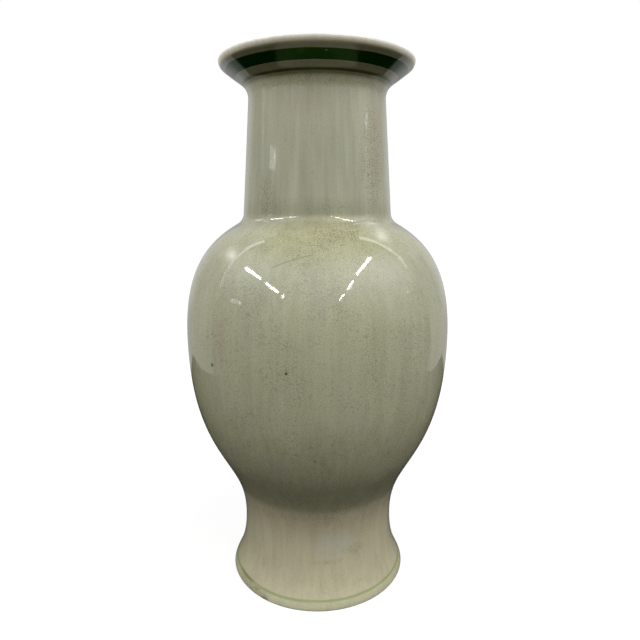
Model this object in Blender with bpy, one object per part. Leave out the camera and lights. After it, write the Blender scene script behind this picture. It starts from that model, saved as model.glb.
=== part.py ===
"""Baluster vase of crackled celadon porcelain, 400 mm high.

It is built as such a vase is made: a turned foot ring and a base slab carry five thrown
sections, luted one on the next with clay slip, and green enamel bands are fired on last.
Metres, +Z up. The vase's axis is the Z axis, and its standing edge lies on z = 0.
"""

import math

import bmesh
import bpy
import numpy as np

# Heights of the sections, each counted from the one below it
FOOT_HEIGHT = 0.0460        # standing edge to the narrow waist
LOWER_BODY_HEIGHT = 0.1540  # waist to the widest place of the belly
UPPER_BODY_HEIGHT = 0.0878  # belly to the corner between shoulder and neck
NECK_HEIGHT = 0.0938        # that corner to the one under the mouth
MOUTH_HEIGHT = 0.0184       # the upper corner to the top of the lip

# Radii of the outer surface, the two of the neck at its sharp corners
FOOT_RADIUS = 0.0720
WAIST_RADIUS = 0.0611
BELLY_RADIUS = 0.1020
NECK_ROOT_RADIUS = 0.0566
NECK_TOP_RADIUS = 0.0502
LIP_RADIUS = 0.0714

# How the outer line runs between those places
SHOULDER_SLOPE = math.radians(30.0)  # below the horizontal, where the shoulder meets the neck
SHOULDER_FILLET = 0.0095
MOUTH_FILLET = 0.0140
FOOT_FULLNESS = (0.11, 0.69)         # pull of a curve's lower and upper end, in section heights
LOWER_BODY_FULLNESS = (0.38, 0.64)
UPPER_BODY_FULLNESS = (0.60, 0.58)

# Thickness of the wall at each of those places
FOOT_WALL = 0.0070
WAIST_WALL = 0.0065
BELLY_WALL = 0.0055
SHOULDER_WALL = 0.0050
NECK_TOP_WALL = 0.0045
LIP_THICKNESS = 0.0036

# Foot ring and base slab
FOOT_RING_HEIGHT = 0.0110
FOOT_RING_WIDTH = 0.0075    # across the standing edge, its chamfers counted
FOOT_RING_CHAMFER = 0.0008
BASE_LEDGE = 0.0025         # how far the ring reaches in under the slab
BASE_THICKNESS = 0.0070

# Slip between the sections: a thin web, and the bead that it leaves inside
SLIP_THICKNESS = 0.0010
SLIP_DEPTH = 0.0004         # how far it lies below the outer surface
SLIP_BEAD_RADIUS = 0.0022

# Enamel bands, flush in the glaze, all measured along the outer surface
ENAMEL_THICKNESS = 0.0005
MOUTH_BAND_WIDTH = 0.0090
MOUTH_BAND_TO_LIP = 0.0056  # upper edge of the band to where the lip's round begins
MOUTH_LINE_WIDTH = 0.0012
MOUTH_LINE_RISE = 0.0042    # slip joint under the mouth to the middle of the thin line
FOOT_LINE_WIDTH = 0.0012
FOOT_LINE_RISE = 0.0078     # standing edge to the middle of the line on the foot ring

CLEARANCE = 0.0003          # between any two pieces that touch
SLIP_STEP = SLIP_THICKNESS / 2 + CLEARANCE  # from the middle of a slip joint to a section's end

# Fineness of the solids
SEGMENTS = 48               # facets round the axis
CURVE_POINTS = 160          # on each curve of the outer line, from which the outlines are read
LIP_POINTS = (5, 3)         # from the outside of the lip to its crest, and on to the inside
BEAD_POINTS = 4
SHARP_EDGE = math.radians(30.0)
OUTLINE_POINTS = {          # on the outside and the inside of each section
    "foot_wall": (7, 5),
    "lower_body": (11, 9),
    "upper_body": (13, 10),
    "neck": (7, 6),
    "mouth": (3, 6),
}

# Finishes: linear colour and roughness
GLAZE = ((0.305, 0.300, 0.216), 0.12)
BARE_PORCELAIN = ((0.360, 0.290, 0.200), 0.50)
SLIP = ((0.420, 0.380, 0.300), 0.70)
DARK_GREEN = ((0.012, 0.040, 0.010), 0.08)
PALE_GREEN = ((0.110, 0.190, 0.085), 0.08)


def clear_scene():
    for item in list(bpy.data.objects):
        bpy.data.objects.remove(item, do_unlink=True)


def finish(name, look):
    colour, roughness = look
    material = bpy.data.materials.new(name + "_finish")
    material.use_nodes = True
    shader = material.node_tree.nodes["Principled BSDF"]
    shader.inputs["Base Color"].default_value = (*colour, 1.0)
    shader.inputs["Roughness"].default_value = roughness
    shader.inputs["Metallic"].default_value = 0.0
    return material


def turned(name, outline, look, closed=True):
    """Turn an outline of (radius, height) points about the axis into one solid object."""
    shape = bmesh.new()
    points = [shape.verts.new((radius, 0.0, height)) for radius, height in outline]
    pairs = list(zip(points, points[1:]))
    if closed:
        pairs.append((points[-1], points[0]))
    edges = [shape.edges.new(pair) for pair in pairs]
    bmesh.ops.spin(shape, geom=points + edges, cent=(0, 0, 0), axis=(0, 0, 1),
                   angle=2 * math.pi, steps=SEGMENTS, use_merge=True)
    bmesh.ops.remove_doubles(shape, verts=shape.verts[:], dist=1e-6)
    bmesh.ops.recalc_face_normals(shape, faces=shape.faces[:])
    mesh = bpy.data.meshes.new(name)
    shape.to_mesh(mesh)
    shape.free()
    mesh.shade_smooth()
    mesh.set_sharp_from_angle(angle=SHARP_EDGE)
    mesh.materials.append(finish(name, look))
    bpy.context.scene.collection.objects.link(bpy.data.objects.new(name, mesh))


def point(radius, height):
    return np.array([radius, height])


def cubic(start, start_pull, end_pull, end):
    """A cubic curve from start to end, drawn towards the two pull points between them."""
    t = np.linspace(0.0, 1.0, CURVE_POINTS)[:, None]
    return ((1 - t) ** 3 * start + 3 * (1 - t) ** 2 * t * start_pull
            + 3 * (1 - t) * t ** 2 * end_pull + t ** 3 * end)


def arc(centre, radius, start, end, count):
    """Points of a circle from one point to another, the short way round."""
    first = math.atan2(*(start - centre)[::-1])
    turn = math.atan2(*(end - centre)[::-1]) - first
    turn = math.remainder(turn, 2 * math.pi)
    angle = np.linspace(first, first + turn, count)
    return centre + radius * np.column_stack([np.cos(angle), np.sin(angle)])


def fillet(corner, before, after, radius):
    """An arc that rounds a corner and touches its two sides, whose unit directions are given."""
    half = math.acos(float(before @ after)) / 2
    setback = radius / math.tan(half)
    middle = (before + after) / np.linalg.norm(before + after)
    centre = corner + middle * radius / math.sin(half)
    return arc(centre, radius, corner + before * setback, corner + after * setback, CURVE_POINTS)


def towards(start, end):
    return (end - start) / np.linalg.norm(end - start)


def lip_centre():
    """Centre of the lip's round, which the wall runs into at its full thickness."""
    total = FOOT_HEIGHT + LOWER_BODY_HEIGHT + UPPER_BODY_HEIGHT + NECK_HEIGHT + MOUTH_HEIGHT
    return point(LIP_RADIUS - LIP_THICKNESS / 2, total - LIP_THICKNESS / 2)


def lip_tangent(corner):
    """Where a straight line from the corner touches the lip's round from outside."""
    reach = lip_centre() - corner
    distance = np.linalg.norm(reach)
    rise = math.atan2(reach[1], reach[0]) - math.asin(LIP_THICKNESS / 2 / distance)
    length = math.sqrt(distance ** 2 - (LIP_THICKNESS / 2) ** 2)
    return corner + length * point(math.cos(rise), math.sin(rise))


def outer_curves():
    """The vase's outer line, from the standing edge to the lip, as one curve after another."""
    foot = point(FOOT_RADIUS, 0.0)
    waist = point(WAIST_RADIUS, FOOT_HEIGHT)
    belly = point(BELLY_RADIUS, waist[1] + LOWER_BODY_HEIGHT)
    shoulder = point(NECK_ROOT_RADIUS, belly[1] + UPPER_BODY_HEIGHT)
    throat = point(NECK_TOP_RADIUS, shoulder[1] + NECK_HEIGHT)
    lip = lip_tangent(throat)

    down_shoulder = point(math.cos(SHOULDER_SLOPE), -math.sin(SHOULDER_SLOPE))
    shoulder_arc = fillet(shoulder, down_shoulder, towards(shoulder, throat), SHOULDER_FILLET)
    throat_arc = fillet(throat, towards(throat, shoulder), towards(throat, lip), MOUTH_FILLET)
    up = point(0.0, 1.0)
    shoulder_pull = UPPER_BODY_FULLNESS[1] * (BELLY_RADIUS - NECK_ROOT_RADIUS)
    return {
        "foot": cubic(foot, foot + FOOT_FULLNESS[0] * FOOT_HEIGHT * up,
                      waist - FOOT_FULLNESS[1] * FOOT_HEIGHT * up, waist),
        "lower_body": cubic(waist, waist + LOWER_BODY_FULLNESS[0] * LOWER_BODY_HEIGHT * up,
                            belly - LOWER_BODY_FULLNESS[1] * LOWER_BODY_HEIGHT * up, belly),
        "upper_body": cubic(belly, belly + UPPER_BODY_FULLNESS[0] * UPPER_BODY_HEIGHT * up,
                            shoulder_arc[0] + shoulder_pull * down_shoulder, shoulder_arc[0]),
        "shoulder_arc": shoulder_arc,
        "neck": np.linspace(shoulder_arc[-1], throat_arc[0], CURVE_POINTS),
        "throat_arc": throat_arc,
        "mouth": np.linspace(throat_arc[-1], lip, CURVE_POINTS),
    }


class Wall:
    """The vase's wall: its outer line by the length along it, and the depth into it."""

    def __init__(self):
        curves = outer_curves()
        pieces = list(curves.values())
        self.line = np.vstack([pieces[0]] + [piece[1:] for piece in pieces[1:]])
        step = np.diff(self.line, axis=0)
        self.run = np.concatenate([[0.0], np.cumsum(np.linalg.norm(step, axis=1))])
        ends = np.cumsum([CURVE_POINTS] + [CURVE_POINTS - 1] * (len(pieces) - 1)) - 1
        end = {name: self.run[last] for name, last in zip(curves, ends)}
        slope = np.gradient(self.line, self.run, axis=0)
        self.outward = np.column_stack([slope[:, 1], -slope[:, 0]])
        self.outward /= np.linalg.norm(self.outward, axis=1)[:, None]
        heading = np.unwrap(np.arctan2(slope[:, 1], slope[:, 0]))
        turned_so_far = np.concatenate([[0.0], np.cumsum(np.abs(np.diff(heading)))])
        self.detail = self.run / self.run[-1] + turned_so_far / turned_so_far[-1]

        self.waist = end["foot"]
        self.belly = end["lower_body"]
        self.shoulder = (end["upper_body"] + end["shoulder_arc"]) / 2
        self.throat = (end["neck"] + end["throat_arc"]) / 2
        self.lip = end["mouth"]
        self.places = [0.0, self.waist, self.belly, self.shoulder, self.throat, self.lip]
        self.walls = [FOOT_WALL, WAIST_WALL, BELLY_WALL, SHOULDER_WALL, NECK_TOP_WALL, LIP_THICKNESS]

    def thickness(self, run):
        return np.interp(run, self.places, self.walls)

    def at(self, run, depth=0.0):
        """Points of the wall, each at a length along the outer line and a depth under it."""
        run, depth = np.broadcast_arrays(np.atleast_1d(run), depth)
        face = np.column_stack([np.interp(run, self.run, column) for column in self.line.T])
        normal = np.column_stack([np.interp(run, self.run, column) for column in self.outward.T])
        return face - normal * depth[:, None]

    def inner(self, run):
        return self.at(run, self.thickness(run))

    def spread(self, start, end, count):
        """Lengths between two places, closer together where the line bends more."""
        first, last = np.interp([start, end], self.run, self.detail)
        return np.interp(np.linspace(first, last, count), self.detail, self.run)

    def outer_run_at(self, height):
        return np.interp(height, self.line[:, 1], self.run)

    def inner_run_at(self, height):
        return np.interp(height, self.inner(self.run)[:, 1], self.run)

    def inner_radius_at(self, height):
        return np.interp(height, self.inner(self.run)[:, 1], self.inner(self.run)[:, 0])


def recess(wall, middle, width):
    """The shallow step in the wall that an enamel band fills, as (length, depth) corners."""
    half = width / 2 + CLEARANCE
    depth = ENAMEL_THICKNESS + CLEARANCE
    runs = [middle - half, middle - half, middle + half, middle + half]
    return wall.at(runs, np.array([0.0, depth, depth, 0.0]))


def enamel_band(wall, name, middle, width, look):
    """A thin band of enamel whose face is flush with the wall round it."""
    runs = np.array([middle - width / 2, middle, middle + width / 2])
    face = wall.at(runs)
    back = wall.at(runs[::-1], ENAMEL_THICKNESS)
    turned(name, np.vstack([face, back]), look)


def slip_joint(wall, name, place):
    """A web of slip between two sections, with the bead that it squeezes out inside."""
    half = SLIP_THICKNESS / 2
    face = wall.at([place + half, place - half], SLIP_DEPTH)
    root = wall.thickness(place) + CLEARANCE
    front = wall.at([place - half, place - SLIP_BEAD_RADIUS], root)
    around = np.linspace(0.0, math.pi, BEAD_POINTS)[1:-1]
    bead = wall.at(place - SLIP_BEAD_RADIUS * np.cos(around),
                   root + SLIP_BEAD_RADIUS * np.sin(around))
    back = wall.at([place + SLIP_BEAD_RADIUS, place + half], root)
    turned(name, np.vstack([face, front, bead, back]), SLIP)


def section(wall, name, start, end):
    """A thrown section between two slip joints, cut square to the wall at both ends."""
    outer_points, inner_points = OUTLINE_POINTS[name]
    outside = wall.at(wall.spread(start + SLIP_STEP, end - SLIP_STEP, outer_points))
    inside = wall.inner(wall.spread(start + SLIP_STEP, end - SLIP_STEP, inner_points))
    turned(name, np.vstack([outside, inside[::-1]]), GLAZE)


def foot_ring(wall):
    """The ring that the vase stands on, with its step for the enamel line and its ledge."""
    top = wall.outer_run_at(FOOT_RING_HEIGHT)
    ledge = wall.inner_radius_at(FOOT_RING_HEIGHT) - BASE_LEDGE
    inside = FOOT_RADIUS - FOOT_RING_WIDTH
    outline = np.vstack([
        point(FOOT_RADIUS - FOOT_RING_CHAMFER, 0.0),
        wall.at(FOOT_RING_CHAMFER),
        recess(wall, FOOT_LINE_RISE, FOOT_LINE_WIDTH),
        wall.at(top),
        point(ledge, FOOT_RING_HEIGHT),
        point(inside, FOOT_RING_CHAMFER),
        point(inside + FOOT_RING_CHAMFER, 0.0),
    ])
    turned("foot_ring", outline, BARE_PORCELAIN)


def base_slab(wall):
    """The vase's floor, which rests on the ring's ledge inside the foot."""
    underside = FOOT_RING_HEIGHT + CLEARANCE
    heights = np.linspace(underside, underside + BASE_THICKNESS, 3)
    rim = np.column_stack([wall.inner_radius_at(heights) - CLEARANCE, heights])
    outline = np.vstack([point(0.0, heights[0]), rim, point(0.0, heights[-1])])
    turned("base_slab", outline, GLAZE, closed=False)


def foot_wall(wall):
    """The spreading foot, from the ring up to the waist, with a level lower edge."""
    outer_points, inner_points = OUTLINE_POINTS["foot_wall"]
    lower_edge = FOOT_RING_HEIGHT + CLEARANCE
    end = wall.waist - SLIP_STEP
    outside = wall.at(wall.spread(wall.outer_run_at(lower_edge), end, outer_points))
    inside = wall.inner(wall.spread(wall.inner_run_at(lower_edge), end, inner_points))
    turned("foot_wall", np.vstack([outside, inside[::-1]]), GLAZE)


def mouth(wall):
    """The flared mouth with its rounded lip and the steps for its two enamel bands."""
    bend_points, inner_points = OUTLINE_POINTS["mouth"]
    start = wall.throat + SLIP_STEP
    line = wall.throat + MOUTH_LINE_RISE
    band = mouth_band_middle(wall)
    bend = wall.spread(line + MOUTH_LINE_WIDTH, band - MOUTH_BAND_WIDTH / 2, bend_points + 1)[:-1]
    centre, radius = lip_centre(), LIP_THICKNESS / 2
    crest = centre + point(0.0, radius)
    outline = np.vstack([
        wall.at(start),
        recess(wall, line, MOUTH_LINE_WIDTH),
        wall.at(bend),
        recess(wall, band, MOUTH_BAND_WIDTH),
        arc(centre, radius, wall.at(wall.lip)[0], crest, LIP_POINTS[0]),
        arc(centre, radius, crest, wall.inner(wall.lip)[0], LIP_POINTS[1])[1:],
        wall.inner(wall.spread(start, wall.lip, inner_points))[::-1][1:],
    ])
    turned("mouth", outline, GLAZE)


def mouth_band_middle(wall):
    return wall.lip - MOUTH_BAND_TO_LIP - MOUTH_BAND_WIDTH / 2


def build():
    clear_scene()
    wall = Wall()
    foot_ring(wall)
    base_slab(wall)
    foot_wall(wall)
    section(wall, "lower_body", wall.waist, wall.belly)
    section(wall, "upper_body", wall.belly, wall.shoulder)
    section(wall, "neck", wall.shoulder, wall.throat)
    mouth(wall)
    slip_joint(wall, "waist_slip", wall.waist)
    slip_joint(wall, "belly_slip", wall.belly)
    slip_joint(wall, "shoulder_slip", wall.shoulder)
    slip_joint(wall, "throat_slip", wall.throat)
    enamel_band(wall, "mouth_band", mouth_band_middle(wall), MOUTH_BAND_WIDTH, DARK_GREEN)
    enamel_band(wall, "mouth_line", wall.throat + MOUTH_LINE_RISE, MOUTH_LINE_WIDTH, DARK_GREEN)
    enamel_band(wall, "foot_line", FOOT_LINE_RISE, FOOT_LINE_WIDTH, PALE_GREEN)


build()
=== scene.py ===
"""Baluster vase of crackled celadon: smooth glazed pieces, green enamel lines and a studio.

The vase is turned about the Z axis and stands on z = 0. Azimuths count from the camera's side,
which is -Y, and grow towards +X. All lengths are in metres.
"""

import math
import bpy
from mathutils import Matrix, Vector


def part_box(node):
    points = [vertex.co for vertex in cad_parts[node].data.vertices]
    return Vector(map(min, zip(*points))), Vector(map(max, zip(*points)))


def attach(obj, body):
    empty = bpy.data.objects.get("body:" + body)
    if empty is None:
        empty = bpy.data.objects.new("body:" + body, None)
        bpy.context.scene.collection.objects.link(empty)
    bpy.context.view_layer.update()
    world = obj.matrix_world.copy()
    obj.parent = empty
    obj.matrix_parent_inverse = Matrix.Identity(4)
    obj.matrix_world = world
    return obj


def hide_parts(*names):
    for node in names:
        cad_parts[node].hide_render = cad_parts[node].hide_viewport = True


bl_info = {
    "name": "Crackled Celadon Vase",
    "version": (1, 0, 0),
    "blender": (4, 5, 0),
    "location": "3D View > Sidebar > Vase",
    "description": "Dresses a baluster vase in crackled glaze and green enamel",
    "category": "Add Mesh",
}

import bpy
import numpy as np
from bpy.props import FloatProperty, FloatVectorProperty, IntProperty, PointerProperty
from mathutils import Matrix, Vector

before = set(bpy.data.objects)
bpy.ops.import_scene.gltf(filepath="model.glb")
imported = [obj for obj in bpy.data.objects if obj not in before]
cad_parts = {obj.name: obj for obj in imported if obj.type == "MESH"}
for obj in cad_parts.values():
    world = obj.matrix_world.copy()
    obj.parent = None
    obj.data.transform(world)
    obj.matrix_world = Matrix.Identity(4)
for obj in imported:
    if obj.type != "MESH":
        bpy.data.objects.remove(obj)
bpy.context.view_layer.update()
BODY = "root"
MOUTH_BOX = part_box("mouth")
BELLY_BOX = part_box("lower_body")

CURVE_POINTS = 240          # on each curve of the outer line
MILLIMETRE = 0.001
WHITE = (1.0, 1.0, 1.0)


# Sizes and colours

def length(name, description, default):
    return FloatProperty(name=name, description=description, default=default, min=0.0,
                         precision=5, unit="LENGTH", subtype="DISTANCE")


def colour(name, description, default):
    return FloatVectorProperty(name=name, description=description, default=default, size=3,
                               min=0.0, max=1.0, subtype="COLOR")


class VaseSizes(bpy.types.PropertyGroup):
    """Sizes of the vase's outer line, of its wall and of the enamel on it"""

    total_height: length("Height", "Standing edge to the top of the lip", MOUTH_BOX[1].z)
    foot_height: length("Foot", "Standing edge to the narrow waist", 0.0460)
    lower_body_height: length("Lower body", "Waist to the widest place", 0.1540)
    upper_body_height: length("Upper body", "Widest place to the neck's corner", 0.0878)
    neck_height: length("Neck", "Neck's corner to the one under the mouth", 0.0938)

    foot_radius: length("Foot radius", "Radius at the standing edge", 0.0720)
    waist_radius: length("Waist radius", "Radius at the narrow waist", 0.0611)
    belly_radius: length("Belly radius", "Radius at the widest place", BELLY_BOX[1].x)
    neck_root_radius: length("Neck root radius", "At the neck's lower corner", 0.0566)
    neck_top_radius: length("Neck top radius", "At the corner under the mouth", 0.0502)
    lip_radius: length("Lip radius", "Radius of the lip's outside", MOUTH_BOX[1].x)

    shoulder_slope: FloatProperty(
        name="Shoulder slope", description="Fall of the shoulder where it leaves the neck",
        default=math.radians(30.0), subtype="ANGLE", unit="ROTATION")
    shoulder_fillet: length("Shoulder fillet", "Rounding of the neck's lower corner", 0.0095)
    mouth_fillet: length("Mouth fillet", "Rounding of the corner under the mouth", 0.0140)

    foot_wall: length("Foot wall", "Thickness at the standing edge", 0.0070)
    waist_wall: length("Waist wall", "Thickness at the waist", 0.0065)
    belly_wall: length("Belly wall", "Thickness at the belly", 0.0055)
    shoulder_wall: length("Shoulder wall", "Thickness at the neck's lower corner", 0.0050)
    neck_top_wall: length("Neck top wall", "Thickness under the mouth", 0.0045)
    lip_wall: length("Lip wall", "Thickness of the mouth under the lip", 0.0036)
    lip_bend: length("Lip bend", "Rounding of the lip's outside", 0.0045)
    lip_edge: length("Lip edge", "Rounding of the lip's crest", 0.0009)

    ring_height: length("Ring height", "Standing edge to the joint above the ring", 0.01115)
    ring_width: length("Ring width", "Width of the standing edge", 0.0075)
    ring_edge: length("Ring edge", "Rounding of the standing edge", 0.0008)
    ring_ledge: length("Ring ledge", "How far the ring reaches in under the base", 0.0025)
    base_thickness: length("Base thickness", "Thickness of the vase's floor", 0.0070)
    base_dome: length("Base dome", "Rise of the underside towards its middle", 0.0012)
    bead_width: length("Bead width", "Half the width of a slip bead inside", 0.0042)
    bead_height: length("Bead height", "How far a slip bead stands inside the wall", 0.0016)

    enamel_rise: length("Enamel rise", "How far the enamel stands on the glaze", 0.00010)
    enamel_root: length("Enamel root", "How far its back lies in the glaze", 0.00030)
    band_width: length("Mouth band", "Width of the dark band under the lip", 0.0090)
    mouth_line_width: length("Mouth line", "Width of the thin line under the band", 0.0022)
    foot_line_width: length("Foot line", "Width of the line on the foot", 0.0025)
    lean: length("Lean", "How much lower the painted lines lie on one side", 0.00022)

    wobble: length("Wobble", "How far the thrown wall wanders from a true round", 0.00010)
    facets: IntProperty(name="Facets", description="Facets round the axis", default=256, min=48)


class VaseColours(bpy.types.PropertyGroup):
    """Linear colours of the glaze, its stains and the enamels"""

    glaze: colour("Celadon glaze", "Grey-green body of the glaze", (0.420, 0.420, 0.286))
    cool_glaze: colour("Cool glaze", "Where the glaze pools a little bluer", (0.412, 0.420, 0.292))
    warm_glaze: colour("Warm glaze", "Where the glaze turns straw-coloured", (0.430, 0.419, 0.278))
    neck_glaze: colour("Neck glaze", "Greyer glaze that ran down the neck", (0.384, 0.389, 0.284))
    shoulder_glaze: colour("Shoulder glaze", "Thick glaze under the neck", (0.430, 0.424, 0.258))
    waist_glaze: colour("Waist glaze", "Brown-tinged glaze under the waist", (0.440, 0.385, 0.262))
    foot_glaze: colour("Foot glaze", "Ochre glaze on the foot", (0.490, 0.457, 0.310))
    hem_glaze: colour("Hem glaze", "Yellow-green glaze below the foot line", (0.455, 0.450, 0.288))
    # The lip's two tones: thin pale glaze with painted light on its bend and a painted highlight
    # on its crest
    lit_lip_glaze: colour("Lip glaze", "Thin brownish glaze under the lip", (0.740, 0.670, 0.500))
    rim_glaze_highlight: colour("Rim glaze", "Thin creamy glaze on the lip's crest", (0.860, 0.840, 0.740))
    edge_glaze: colour("Edge glaze", "Grey glaze just above the standing edge",
                       (0.375, 0.368, 0.290))
    # Also the colour of the painted shade at the front above the waist and at the bottom of the
    # foot
    stain_and_shade: colour("Stain", "Tea-brown stain that creeps into the crackle", (0.300, 0.258, 0.158))
    rosy: colour("Rosy glaze", "Where the glaze has turned a little pink", (0.410, 0.360, 0.272))
    milky: colour("Milky glaze", "Bluish-white glaze where it ran thick", (0.455, 0.466, 0.385))
    speck: colour("Speck", "Iron specks and pinholes", (0.030, 0.026, 0.018))
    body: colour("Bare body", "Porcelain where no glaze covers it", (0.460, 0.430, 0.370))
    grime: colour("Grime", "Grey dirt on the standing edge", (0.160, 0.152, 0.145))
    dark_enamel: colour("Dark green", "Enamel of the band under the lip", (0.003, 0.028, 0.001))
    dark_enamel_thin: colour("Thin dark green", "Where that enamel runs thin",
                             (0.018, 0.046, 0.008))
    line_enamel: colour("Line green", "Enamel of the thin line under the band",
                        (0.045, 0.060, 0.014))
    line_enamel_thin: colour("Thin line green", "Where that enamel runs thin",
                             (0.110, 0.120, 0.060))
    dark_cast: colour("Dark green cast", "Tint of the reflections in that enamel",
                      (0.08, 0.34, 0.00))
    pale_enamel: colour("Pale green", "Enamel of the line on the foot", (0.312, 0.342, 0.164))


# The wall's outline

def point(radius, height):
    return np.array([radius, height])


def cubic(start, start_pull, end_pull, end, count=CURVE_POINTS):
    """Cubic Bezier curve: the four points weighted by the Bernstein polynomials of degree 3."""
    t = np.linspace(0.0, 1.0, count)[:, None]
    return ((1 - t) ** 3 * start + 3 * (1 - t) ** 2 * t * start_pull
            + 3 * (1 - t) * t ** 2 * end_pull + t ** 3 * end)


def arc(centre, radius, start, end, count):
    """Circle of that centre and radius, read at even angles the short way from start to end."""
    first = math.atan2(*(start - centre)[::-1])
    turn = math.remainder(math.atan2(*(end - centre)[::-1]) - first, 2 * math.pi)
    angle = np.linspace(first, first + turn, count)
    return centre + radius * np.column_stack([np.cos(angle), np.sin(angle)])


def fillet(corner, before, after, radius):
    """Arc that touches the two sides of a corner, whose unit directions are given."""
    half = math.acos(float(before @ after)) / 2
    setback = radius / math.tan(half)
    middle = (before + after) / np.linalg.norm(before + after)
    centre = corner + middle * radius / math.sin(half)
    return arc(centre, radius, corner + before * setback, corner + after * setback, CURVE_POINTS)


def towards(start, end):
    return (end - start) / np.linalg.norm(end - start)


def lip_outside(sizes):
    """The lip's outermost point, where its bend has turned upright."""
    return point(sizes.lip_radius, sizes.total_height - sizes.lip_edge)


def lip_tangent(sizes, corner):
    """Where a straight line from the corner touches the lip's bend from outside."""
    bend = sizes.lip_bend
    reach = lip_outside(sizes) - point(bend, 0.0) - corner
    distance = np.linalg.norm(reach)
    rise = math.atan2(reach[1], reach[0]) - math.asin(bend / distance)
    return corner + math.sqrt(distance ** 2 - bend ** 2) * point(math.cos(rise), math.sin(rise))


# How far each curve keeps the direction of its lower and of its upper end: shares of its height
# and, at the shoulder, of its width
FOOT_PULLS = (0.11, 0.69)
LOWER_BODY_PULLS = (0.38, 0.64)
UPPER_BODY_PULLS = (0.60, 0.58)


def outer_curves(sizes):
    """The outer line from the standing edge to the lip's outermost point, from below: three
    cubics, a fillet, a straight neck, a fillet, a straight flare and the lip's bend."""
    foot = point(sizes.foot_radius, 0.0)
    waist = point(sizes.waist_radius, sizes.foot_height)
    belly = point(sizes.belly_radius, waist[1] + sizes.lower_body_height)
    shoulder = point(sizes.neck_root_radius, belly[1] + sizes.upper_body_height)
    throat = point(sizes.neck_top_radius, shoulder[1] + sizes.neck_height)
    lip = lip_tangent(sizes, throat)

    slope = sizes.shoulder_slope
    down_shoulder = point(math.cos(slope), -math.sin(slope))
    shoulder_arc = fillet(shoulder, down_shoulder, towards(shoulder, throat),
                          sizes.shoulder_fillet)
    throat_arc = fillet(throat, towards(throat, shoulder), towards(throat, lip),
                        sizes.mouth_fillet)
    up = point(0.0, 1.0)
    foot_low, foot_high = (share * sizes.foot_height * up for share in FOOT_PULLS)
    body_low, body_high = (share * sizes.lower_body_height * up for share in LOWER_BODY_PULLS)
    upright, sloping = UPPER_BODY_PULLS
    inward = sizes.belly_radius - sizes.neck_root_radius
    return {
        "foot": cubic(foot, foot + foot_low, waist - foot_high, waist),
        "lower_body": cubic(waist, waist + body_low, belly - body_high, belly),
        "upper_body": cubic(belly, belly + upright * sizes.upper_body_height * up,
                            shoulder_arc[0] + sloping * inward * down_shoulder, shoulder_arc[0]),
        "shoulder_arc": shoulder_arc,
        "neck": np.linspace(shoulder_arc[-1], throat_arc[0], CURVE_POINTS),
        "throat_arc": throat_arc,
        "mouth": np.linspace(throat_arc[-1], lip, CURVE_POINTS),
        "lip": arc(lip_outside(sizes) - point(sizes.lip_bend, 0.0), sizes.lip_bend, lip,
                   lip_outside(sizes), CURVE_POINTS),
    }


class Wall:
    """The vase's wall: its outer line by the length along it, and the depth into it."""

    def __init__(self, sizes):
        curves = outer_curves(sizes)
        pieces = list(curves.values())
        self.line = np.vstack([pieces[0]] + [piece[1:] for piece in pieces[1:]])
        step = np.diff(self.line, axis=0)
        self.run = np.concatenate([[0.0], np.cumsum(np.linalg.norm(step, axis=1))])
        ends = np.cumsum([CURVE_POINTS] + [CURVE_POINTS - 1] * (len(pieces) - 1)) - 1
        end = {name: self.run[last] for name, last in zip(curves, ends)}
        slope = np.gradient(self.line, self.run, axis=0)
        self.outward = np.column_stack([slope[:, 1], -slope[:, 0]])
        self.outward /= np.linalg.norm(self.outward, axis=1)[:, None]

        self.ring = self.run_at(sizes.ring_height)
        self.waist = end["foot"]
        self.belly = end["lower_body"]
        self.shoulder = (end["upper_body"] + end["shoulder_arc"]) / 2
        self.throat = (end["neck"] + end["throat_arc"]) / 2
        self.flare = end["mouth"]
        self.lip = end["lip"]
        self.places = [0.0, self.waist, self.belly, self.shoulder, self.throat, self.flare]
        self.walls = [sizes.foot_wall, sizes.waist_wall, sizes.belly_wall,
                      sizes.shoulder_wall, sizes.neck_top_wall, sizes.lip_wall]

    def thickness(self, run):
        return np.interp(run, self.places, self.walls)

    def normal(self, run):
        """Outward unit normals in the plane of the outline, at any array of lengths."""
        found = np.stack([np.interp(run, self.run, column) for column in self.outward.T], axis=-1)
        return found / np.linalg.norm(found, axis=-1, keepdims=True)

    def at(self, run, depth=0.0):
        """Points (radius, height), each at a length along the line and a depth under it."""
        run, depth = np.broadcast_arrays(run, depth)
        face = np.stack([np.interp(run, self.run, column) for column in self.line.T], axis=-1)
        return face - self.normal(run) * depth[..., None]

    def inner(self, run):
        return self.at(run, self.thickness(run))

    def run_at(self, height):
        return float(np.interp(height, self.line[:, 1], self.run))

    def inner_run_at(self, height):
        return float(np.interp(height, self.inner(self.run)[:, 1], self.run))

    def inner_radius_at(self, height):
        inside = self.inner(self.run)
        return float(np.interp(height, inside[:, 1], inside[:, 0]))


def steps(start, end, size):
    """Even lengths from start to end, no further apart than size."""
    return np.linspace(start, end, max(2, math.ceil(abs(end - start) / size) + 1))


# Turned surfaces

# Waves of the thrown wall's drift: share, waves round the axis, lean with the height, phase
DRIFT_WAVES = [(0.45, 2, 9.0, 0.6), (0.30, 3, -21.0, 2.1), (0.25, 5, 47.0, 4.0)]

CHIP_ANGLE = math.radians(-90.0 - 35.2)
CHIP_HALF_WIDTH = 0.0022
CHIP_HEIGHT = 0.0022
CHIP_DEPTH = 0.0006
CHIP_RAGGEDNESS = 0.35
CHIP_WAVES = (5.0, 4.0)     # of its ragged outline, sideways and upwards

NUDGE = 1e-5                # step for slopes that are worked out from two places
NOTHING = 1e-9              # what is shorter than this counts as no length
LEAST_STEP = 1e-12          # keeps the division of a step's direction from failing


def wander(sizes, height, angle):
    """Radial drift of a hand-thrown wall: slow waves round the axis that lean with the height.

    It only draws the wall in, so the widest places keep to their radius.
    """
    waves = sum(share * np.sin(count * angle + lean * height + phase)
                for share, count, lean, phase in DRIFT_WAVES)
    return sizes.wobble * (waves - 1.0)


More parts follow.
